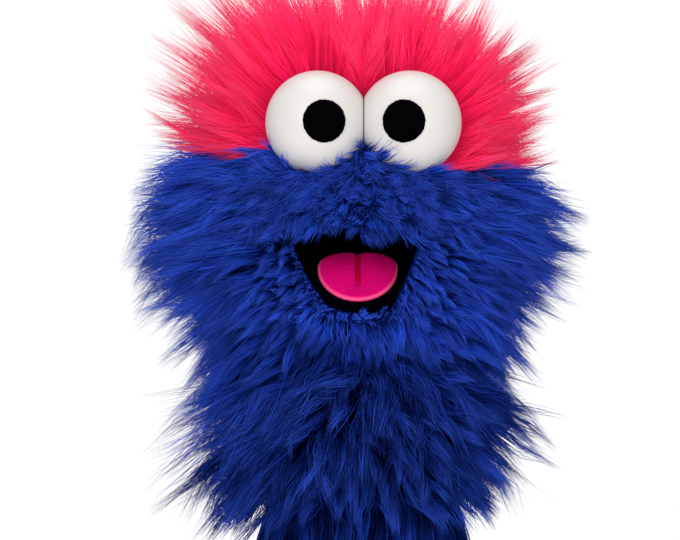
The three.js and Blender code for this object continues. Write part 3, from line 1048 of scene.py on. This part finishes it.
class PUPPET_OT_cheek_fur(bpy.types.Operator):
    """The fur at the corners of the mouth and beside the throat"""

    bl_idname = "puppet.cheek_fur"
    bl_label = "Cheek fur"

    def execute(self, context):
        sizes = context.scene.puppet_sizes
        coat = Coat(10500, 320, 0.60, 0.60, 0.32, 0.92, 0.19, 0.09, 2)
        front_edge = HEAD.y - math.cos(math.radians(CHEEK_TURN)) * HEAD.front

        def front(p):
            turn = (hinge_angle(p) + 10) % 360 - 10
            level = (p[..., 2] > 0.215) & (p[..., 2] < HINGE[2] + 0.004)
            return level & (turn > -4) & (turn < 45) & (p[..., 1] > front_edge)

        def rear(p):
            turn = hinge_angle(p)
            return (turn >= 45) & (turn < 120) & (p[..., 2] > 0.196) & (p[..., 2] < 0.262)

        def lengths(root):
            short = sizes.face_length * 0.8
            long = sizes.side_length * (0.80 + 0.16 * smooth(root[:, 2], 0.225, 0.262))
            return (short + (long - short) * smooth(np.abs(root[:, 0]), 0.046, 0.064)) * fuller_left(root)

        def under(p):
            level = (p[..., 2] > 0.196) & (p[..., 2] < 0.2705)
            return level & (hinge_angle(p) < 117) & (p[..., 1] > front_edge)

        groom = Groom(fan((0.0, -0.070, 0.262)), lengths, even(0.46))
        for side, name in EYES.items():
            turns, rises = ((-115, -35) if side < 0 else (35, 115)), (-40, 5)
            surface = grown_head(turns, rises)
            sheet = cheek_sheet(side)
            patches = [
                Patch(surface, front, 3),
                Patch(surface, rear, 2),
                Patch(sheet[:, ::-side], everywhere, 1.6, 0.0, 0.95),
                Patch(sheet[:, :4][:, ::-side], everywhere, 0.35, 0.75, 0.38),
            ]
            nodes = (f"cheek_fur_{name}", f"throat_fur_{name}")
            blue_hair(f"cheek_hair_{name}", patches, coat, groom, 52 + side, *nodes, blend=HEAD_BLEND)
            blue_cloth(head_pelt(f"cheek_pelt_{name}", turns, rises, under), blend=HEAD_BLEND)
            blue_cloth(shell(f"corner_pelt_{name}", sheet, cheek_sheet(side, ROLL_CLOTH)), blend=HEAD_BLEND)
        return {"FINISHED"}


def tube_surface(low, high, foot, top, tuck=0.0, rows=49, columns=121):
    """A round wall about the sleeve's axis, its radius changing evenly from foot to top, and drawn in
    towards the top, most of all at the front, by a share of it."""
    turn, level = np.meshgrid(np.linspace(-math.pi, math.pi, columns), np.linspace(0, 1, rows))
    drawn = tuck * (0.25 + 0.75 * (1 + np.cos(turn)) / 2) * smooth(level, 0.45, 1.0)
    radius = (foot + (top - foot) * level) * (1 - drawn)
    x = np.sin(turn) * radius + SLEEVE_AXIS[0]
    y = SLEEVE_AXIS[1] - np.cos(turn) * radius
    return np.stack([x, y, low + (high - low) * level], -1)


class PUPPET_OT_neck_fur(bpy.types.Operator):
    """The long fur between the sleeve and the head"""

    bl_idname = "puppet.neck_fur"
    bl_label = "Neck fur"

    def execute(self, context):
        sizes = context.scene.puppet_sizes
        low, high, radius = SLEEVE_TOP - 0.006, NECK_TOP, SLEEVE_RADIUS + 0.0034
        surface = tube_surface(low, high, radius, radius + 0.003, 0.30)
        coat = Coat(12000, 330, 0.62, 0.58, 0.46, 0.91, 0.20, 0.10, 3)

        def lengths(root):
            low = smooth(-root[:, 2], -0.160, -0.122)
            deep = np.abs(root[:, 1] - SLEEVE_AXIS[1]) / radius
            return sizes.body_length * (1.12 - 0.38 * low) * (1 - 0.36 * deep**2) * fuller_left(root)

        def shade(root):
            # Dark, and darker still towards the foot: painted shade under the chin's hanging locks.
            return 0.24 - 0.06 * smooth(-root[:, 2], -0.185, -0.150)

        groom = Groom(fan((0.0, 0.0, 0.230), 0.6), lengths, shade)
        for name, side, share in (("front", -1, 1.0), ("back", 1, 0.5)):
            keep = lambda p, side=side: (p[..., 1] - SLEEVE_AXIS[1]) * side >= 0
            own = coat._replace(hairs=int(coat.hairs * share), rings=3 if side < 0 else 2)
            nodes = ["neck_fur"] if side < 0 else []
            patch = Patch(surface, keep)
            blue_hair(f"neck_hair_{name}", [patch], own, groom, 62 + side, *nodes, blend=NECK_BLEND)
        pelt = shell("neck_pelt", surface, tube_surface(low, high, radius - 0.0012, radius + 0.0018, 0.30))
        blue_cloth(pelt, blend=NECK_BLEND)
        return {"FINISHED"}


class PUPPET_OT_sleeve_fur(bpy.types.Operator):
    """The fur of the sleeve, which lies down over the arm as far as the hem"""

    bl_idname = "puppet.sleeve_fur"
    bl_label = "Sleeve fur"

    def execute(self, context):
        sizes = context.scene.puppet_sizes
        radius = SLEEVE_RADIUS + 0.0020
        surface = tube_surface(SLEEVE_FOOT, SLEEVE_TOP, radius, radius)
        coat = Coat(7400, 190, 0.20, 0.10, 0.35, 0.74, 0.13, 0.06, 2)

        def lengths(root):
            room = np.maximum((root[:, 2] - 0.002) / 0.85, 0.008)
            return np.minimum(sizes.body_length * 0.95, room)

        # The low even shade of 0.22 is painted shade: the sleeve lies in the shadow of the chin and neck fur.
        groom = Groom(fan((0.0, 0.0, 0.300), 0.4), lengths, even(0.22))
        for name, side, share in (("front", -1, 1.0), ("back", 1, 0.7)):
            half = lambda p, side=side: (p[..., 1] - SLEEVE_AXIS[1]) * side >= 0
            keep = lambda p, half=half: half(p) & (p[..., 2] < SLEEVE_TOP - 0.007)
            own = coat._replace(hairs=int(coat.hairs * share))
            patch, node = Patch(surface, keep), f"sleeve_fur_{name}"
            blue_hair(f"sleeve_hair_{name}", [patch], own, groom, 72 + side, node, body="sleeve")
        inner = radius - 0.0014
        pelt = shell("sleeve_pelt", surface, tube_surface(SLEEVE_FOOT, SLEEVE_TOP, inner, inner))
        blue_cloth(pelt, body="sleeve")
        return {"FINISHED"}


# ---- Eyes ----

EYE_WALL = 0.0016

def eye_grid(side, radius, rows=65, columns=97):
    """A ball about its forward axis: the angle from the front goes from 0 to where the ball is cut off
    behind, and the side next to the other eye is pressed flat."""
    last = math.acos(-(EYE_REAR - EYE_CENTRES[1][1]) / radius)
    angle, turn = np.meshgrid(np.linspace(0, last, rows), np.linspace(0, FULL_TURN, columns), indexing="ij")
    x = np.sin(angle) * np.cos(turn)
    z = np.sin(angle) * np.sin(turn)
    points = EYE_CENTRES[side] + radius * np.stack([x, -np.cos(angle), z], -1)
    flat = EYE_FLAT + (EYE_RADIUS - radius)
    points[..., 0] = np.maximum(points[..., 0] * side, flat) * side
    return points


class PUPPET_OT_eyes(bpy.types.Operator):
    """Two hollow plastic balls, flat where they meet, and their felt pupils"""

    bl_idname = "puppet.eyes"
    bl_label = "Eyes"

    def execute(self, context):
        colours = context.scene.puppet_colours
        plastic = finish("eye_plastic", eye_finish, colours.eye)
        ink = (0.0008, 0.0008, 0.0014)
        felt = finish("pupil_felt", cloth_finish, ink, 1400.0, 0.0006, 0.95, 0.6, 0.0)
        for side, name in EYES.items():
            ball = shell(f"eye_{name}", eye_grid(side, EYE_RADIUS), eye_grid(side, EYE_RADIUS - EYE_WALL))
            dress(ball, plastic, f"eye_ball_{name}", body="head", slot="eye_plastic")
            low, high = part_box(f"pupil_{name}")
            front = middle(f"pupil_{name}")
            front[1] = low.y
            half = (high.z - low.z) / 2
            pupil = pupil_disc(f"pupil_felt_{name}", EYE_CENTRES[side], front, half, 83 + side)
            dress(pupil, felt, f"pupil_{name}", body="head", slot="black_felt")
        return {"FINISHED"}


def pupil_disc(name, ball, front, radius, seed, rows=16, columns=160):
    """A felt disc that lies on the ball. Out from its middle it keeps the ball's curve, and its edge is
    rounded off and a little ragged, its radius going with a sum of waves round the disc."""
    rng = np.random.default_rng(seed)
    axis = unit(front - ball)
    right = unit(np.cross(axis, [0, 0, 1.0]))
    up = np.cross(right, axis)
    reach, turn = np.meshgrid(np.linspace(0, 1, rows), np.linspace(0, FULL_TURN, columns), indexing="ij")
    ragged = np.zeros_like(turn)
    for wave in (3, 11, 19, 29, 41, 53, 67):
        ragged += np.sin(turn * wave + rng.uniform(0, FULL_TURN)) * 0.005
    width = reach * radius * (1 + ragged * reach**6)
    lean = np.arcsin(np.clip(width / EYE_RADIUS, 0, 0.99))
    edge = np.sqrt(np.clip(1 - np.clip((reach - 0.93) / 0.07, 0, 1) ** 2, 0, 1))
    outer_r = EYE_RADIUS + 0.0003 + 0.0011 * edge

    def at(r):
        flat = np.cos(turn)[..., None] * right + np.sin(turn)[..., None] * up
        return ball + r[..., None] * (np.cos(lean)[..., None] * axis + np.sin(lean)[..., None] * flat)

    return shell(name, at(outer_r), at(np.full_like(outer_r, EYE_RADIUS + 0.0002)))


# ---- Mouth ----


TONGUE_HALF, TONGUE_FROM, TONGUE_TO, TONGUE_WIDEST = 0.0235, 0.018, 0.063, 0.0335
TONGUE_SIDE = -0.0030


def tongue_outline(turn):
    """The tongue seen flat: half an ellipse towards the lip, and towards the throat half of a slightly
    squarer one (power 2.5), with a small dip in its middle."""
    ahead = np.sin(turn)
    across = np.cos(turn)
    squarer = ahead < 0
    x = TONGUE_HALF * np.where(squarer, np.sign(across) * np.abs(across) ** 0.8, across)
    rear = (TONGUE_WIDEST - TONGUE_FROM) * np.abs(ahead) ** 0.8
    y = np.where(squarer, TONGUE_WIDEST - rear, TONGUE_WIDEST + (TONGUE_TO - TONGUE_WIDEST) * ahead)
    dip = 0.0014 * np.exp(-((x / 0.0040) ** 2)) * squarer
    return x + TONGUE_SIDE, -(y + dip)


class PUPPET_OT_mouth(bpy.types.Operator):
    """The black felt inside the mouth, the fold at its back and the felt tongue"""

    bl_idname = "puppet.mouth"
    bl_label = "Mouth"

    def execute(self, context):
        colours = context.scene.puppet_colours
        ink = (0.0010, 0.0008, 0.0024)
        black = finish("mouth_felt", cloth_finish, ink, 1200.0, 0.0006, 0.97, 0.6, 0.0)
        upper = felt_plate("palate_felt", 0.0021, 0.0030)
        dress(upper, black, "palate_lining", body="head", slot="black_felt")
        lower = felt_plate("lower_mouth_felt", -0.0021, -0.0030, jaw=True)
        dress(lower, black, "lower_mouth_lining", body="jaw", slot="black_felt")
        fold = mouth_fold("mouth_fold_felt")
        dress(fold, black, "mouth_fold_tape", body="head", slot="black_felt")
        pink = finish("tongue_felt", tongue_finish, tuple(colours.tongue))
        tongue = tongue_piece("tongue_pink")
        dress(tongue, pink, "tongue", body="jaw", slot="tongue_felt")
        return {"FINISHED"}


def felt_plate(name, face, back, jaw=False, rows=30, columns=120):
    """A D-shaped sheet of felt: the rim drawn in towards a point behind its middle, with a slight roll at
    the edge."""
    reach, share = np.meshgrid(np.linspace(0, 1, rows), np.linspace(0, 1, columns), indexing="ij")
    x, y = lip_curve(share)
    centre_y = -LIP_START
    x, y = x * reach, centre_y + (y - centre_y) * reach
    roll = np.sign(back) * 0.0004 * np.clip((reach - 0.96) / 0.04, 0, 1) ** 2
    face_grid = np.stack([x, y, face + roll], -1)
    back_grid = np.stack([x, y, np.full_like(x, back)], -1)
    place = opened if jaw else (lambda points: points + HINGE)
    return shell(name, place(face_grid), place(back_grid))


def mouth_fold(name, rows=40, columns=60):
    """The cloth that closes the fold: a tube about the hinge, carried along it."""
    low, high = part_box("mouth_fold_tape")
    along, round_it = np.linspace(low.x, high.x, columns), np.linspace(0, FULL_TURN, rows)
    x, turn = np.meshgrid(along, round_it, indexing="ij")

    def at(radius):
        return np.stack([x, -np.cos(turn) * radius, -np.sin(turn) * radius], -1) + HINGE

    return shell(name, at(0.0052), at(0.0042))


def tongue_piece(name, rows=44, columns=168):
    """Two layers of felt sewn together along the middle. Its height over the lining falls off at the rim
    and in a groove down the middle that fades before the tip. The attribute edge marks the cut rim."""
    reach, turn = np.meshgrid(np.linspace(0, 1, rows), np.linspace(0, FULL_TURN, columns), indexing="ij")
    edge_x, edge_y = tongue_outline(turn)
    centre = -0.036
    x, y = TONGUE_SIDE + (edge_x - TONGUE_SIDE) * reach, centre + (edge_y - centre) * reach
    rim = np.clip((reach - 0.90) / 0.10, 0, 1)
    groove = np.exp(-(((x - TONGUE_SIDE) / 0.0012) ** 2)) * smooth(y, -0.054, -0.048)
    top = 0.0003 + 0.0006 * (1 - reach**2) - 0.0011 * rim**2.5 - 0.0016 * groove
    bottom = np.full_like(top, -0.00195)
    piece = shell(name, opened(np.stack([x, y, top], -1)), opened(np.stack([x, y, bottom], -1)))
    places = opened(np.stack([edge_x, edge_y, np.zeros_like(edge_x)], -1)[-1])
    points = np.empty(len(piece.data.vertices) * 3)
    piece.data.vertices.foreach_get("co", points)
    points = points.reshape(-1, 3)
    away = np.linalg.norm(points - places[nearest(points, places)], axis=-1)
    layer = piece.data.attributes.new("edge", "FLOAT", "POINT")
    layer.data.foreach_set("value", 1 - smooth(away, 0.0009, 0.0016))
    return piece


# ---- Inner parts ----


def ring_grid(middle, half_wide, half_high, level, rows=33, columns=301):
    """A band round the sleeve's axis: a rounded square section (power 4), carried round, its outer side
    gathered in small waves round the ring and drawn in along a seam."""
    turn, angle = np.meshgrid(np.linspace(0, FULL_TURN, columns), np.linspace(0, FULL_TURN, rows))
    wide = np.sign(np.cos(angle)) * np.abs(np.cos(angle)) ** 0.5
    high = np.sign(np.sin(angle)) * np.abs(np.sin(angle)) ** 0.5
    outside = np.maximum(wide, 0)
    gather = np.sin(turn * 54 + 1.3 * np.sin(turn * 7)) * 0.0003 * outside
    seam = 0.0007 * np.exp(-(((high - 0.45) / 0.12) ** 2)) * outside
    radius = middle + wide * half_wide + gather - seam
    x, y = np.sin(turn) * radius, SLEEVE_AXIS[1] - np.cos(turn) * radius
    return np.stack([x, y, level + high * half_high], -1)


def wrinkled(grid, depth):
    """A round wall pushed in and out by long slanting waves."""
    away = grid[..., :2] - SLEEVE_AXIS
    turn = np.arctan2(away[..., 0], -away[..., 1])
    z = grid[..., 2]
    wave = np.sin(5 * turn + 55 * z) + np.sin(9 * turn - 80 * z + 1) + 0.6 * np.sin(3 * turn + 170 * z)
    moved = grid.copy()
    moved[..., :2] -= unit(away) * (depth * (1 + wave / 3))[..., None]
    return moved


class PUPPET_OT_sleeve_cloth(bpy.types.Operator):
    """The lining of the sleeve and the gathered band round its hem"""

    bl_idname = "puppet.sleeve_cloth"
    bl_label = "Sleeve cloth"

    def execute(self, context):
        cloth = finish("lining_cloth", weave_finish, (0.012, 0.018, 0.06), 0.0007)
        low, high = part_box("hem_binding")
        inner, outer = ARM_RADIUS, high.x
        middle, half = (inner + outer) / 2, (outer - inner) / 2
        band = skin("hem_band", ring_grid(middle, half, (high.z - low.z) / 2, (high.z + low.z) / 2))
        dress(band, cloth, "hem_binding", body="sleeve", slot="lining_cloth")
        low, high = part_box("sleeve_lining")
        wall = tube_surface(low.z - 0.003, high.z, high.x, high.x, rows=45, columns=121)
        lining = shell("arm_lining", wall, wrinkled(tube_inset(wall, 0.0006), 0.0005))
        dress(lining, cloth, "sleeve_lining", body="sleeve", slot="lining_cloth")
        return {"FINISHED"}


def tube_inset(grid, by):
    """A round wall moved in towards the sleeve's axis."""
    moved = grid.copy()
    moved[..., :2] -= unit(grid[..., :2] - SLEEVE_AXIS) * by
    return moved


class PUPPET_OT_inside(bpy.types.Operator):
    """Finishes for the foam, the plates and the straps"""

    bl_idname = "puppet.inside"
    bl_label = "Inside"

    def execute(self, context):
        foam = cloth_finish("open_foam", (0.74, 0.68, 0.52), 700.0, 0.0009, 0.95, 0.22)
        board = cloth_finish("grey_board", (0.05, 0.05, 0.055), 500.0, 0.0002, 0.6, 0.15)
        elastic = weave_finish("woven_elastic", (0.02, 0.02, 0.025), 0.0009)
        wanted = {
            foam: ("body_foam", "neck_ring", "skull_foam_left", "skull_foam_right", "jaw_foam"),
            board: ("upper_mouth_plate", "lower_mouth_plate", "eye_base_left", "eye_base_right"),
            elastic: ("finger_strap", "thumb_strap"),
        }
        for material, nodes in wanted.items():
            for node in nodes:
                solid = frame["nodes"][node]
                solid.data.materials.clear()
                solid.data.materials.append(material)
        return {"FINISHED"}


# ---- Stage ----

EYE_DISTANCE = 1.2
FRAME_WIDTH = 0.388
CAMERA_SIDE, CAMERA_HEIGHT = -0.0134, 0.244
AIM = np.array([0.0, 0.0, 0.25])
LIGHTS = (  # name, place, size and power
    ("key", (-0.55, -1.95, 0.95), 1.3, 25.0),
    ("fill", (0.85, -2.0, 0.40), 1.3, 13.0),
    ("top", (0.0, -0.1, 1.7), 1.4, 10.0),
)


class PUPPET_OT_stage(bpy.types.Operator):
    """A pale floor in a white surround, soft lights and a level camera"""

    bl_idname = "puppet.stage"
    bl_label = "Stage"

    def execute(self, context):
        scene = context.scene
        floor = disc("floor", 1.0)
        floor.data.materials.append(pale_finish("floor_pale", 0.86, 0.30))

        camera = bpy.data.objects.new("camera", bpy.data.cameras.new("camera"))
        scene.collection.objects.link(camera)
        camera.location = (CAMERA_SIDE, EYE_CENTRES[1][1] - EYE_DISTANCE, CAMERA_HEIGHT)
        camera.rotation_euler = (math.radians(90), 0, 0)
        camera.data.lens = camera.data.sensor_width * EYE_DISTANCE / FRAME_WIDTH
        camera.data.clip_end = 20
        scene.camera = camera

        for name, place, size, power in LIGHTS:
            data = bpy.data.lights.new(name, "AREA")
            data.shape = "DISK"
            data.size = size
            data.energy = power
            lamp = bpy.data.objects.new(name, data)
            scene.collection.objects.link(lamp)
            lamp.location = place
            x, y, z = AIM - np.array(place)
            lamp.rotation_euler = (math.atan2(math.hypot(x, y), -z), 0, math.atan2(y, x) - math.pi / 2)

        scene.world = white_world(0.58, 1.02)
        scene.view_settings.view_transform = "Standard"
        return {"FINISHED"}


def disc(name, radius, columns=96):
    """A flat round floor just under the hem."""
    turn = np.linspace(0, FULL_TURN, columns, endpoint=False)
    rim = np.stack([np.sin(turn) * radius, -np.cos(turn) * radius, np.zeros(columns)], -1)
    points = np.concatenate([[[0.0, 0.0, 0.0]], rim]) - np.array([0.0, 0.0, 0.0002])
    index = np.arange(columns)
    faces = np.stack([np.zeros(columns, int), index + 1, (index + 1) % columns + 1], -1)
    return mesh_object(name, points, faces, smooth=False)


def white_world(light, seen):
    """A white surround that gives less light than the white that the camera sees."""
    world = bpy.data.worlds.new("soft_white")
    world.use_nodes = True
    tree = world.node_tree
    sky, behind = tree.nodes["Background"], add(tree, "Background")
    for node, strength in ((sky, light), (behind, seen)):
        fill(tree, node, {"Color": (1.0, 1.0, 1.0, 1.0), "Strength": strength})
    ray = add(tree, "LightPath").outputs["Is Camera Ray"]
    either = add(tree, "MixShader", {0: ray, 1: sky.outputs[0], 2: behind.outputs[0]})
    fill(tree, tree.nodes["World Output"], {"Surface": either.outputs[0]})
    return world


# ---- Panel, registration and main ----

PIECES = (
    PUPPET_OT_pink_fur,
    PUPPET_OT_face_fur,
    PUPPET_OT_nape_fur,
    PUPPET_OT_chin_fur,
    PUPPET_OT_cheek_fur,
    PUPPET_OT_neck_fur,
    PUPPET_OT_sleeve_fur,
    PUPPET_OT_eyes,
    PUPPET_OT_mouth,
    PUPPET_OT_sleeve_cloth,
    PUPPET_OT_inside,
    PUPPET_OT_stage,
)


class PUPPET_PT_panel(bpy.types.Panel):
    """The puppet's pieces and their sizes and colours"""

    bl_label = "Moving mouth puppet"
    bl_space_type = "VIEW_3D"
    bl_region_type = "UI"
    bl_category = "Puppet"

    def draw(self, context):
        for group in (context.scene.puppet_sizes, context.scene.puppet_colours):
            box = self.layout.box()
            for name in group.__annotations__:
                box.prop(group, name)
        for piece in PIECES:
            self.layout.operator(piece.bl_idname)


CLASSES = (PuppetSizes, PuppetColours, *PIECES, PUPPET_PT_panel)


def register():
    for each in CLASSES:
        bpy.utils.register_class(each)
    bpy.types.Scene.puppet_sizes = bpy.props.PointerProperty(type=PuppetSizes)
    bpy.types.Scene.puppet_colours = bpy.props.PointerProperty(type=PuppetColours)


def unregister():
    del bpy.types.Scene.puppet_colours
    del bpy.types.Scene.puppet_sizes
    for each in reversed(CLASSES):
        bpy.utils.unregister_class(each)


def main():
    register()
    for piece in PIECES:
        group, name = piece.bl_idname.split(".")
        getattr(getattr(bpy.ops, group), name)()


if __name__ == "__main__":
    main()
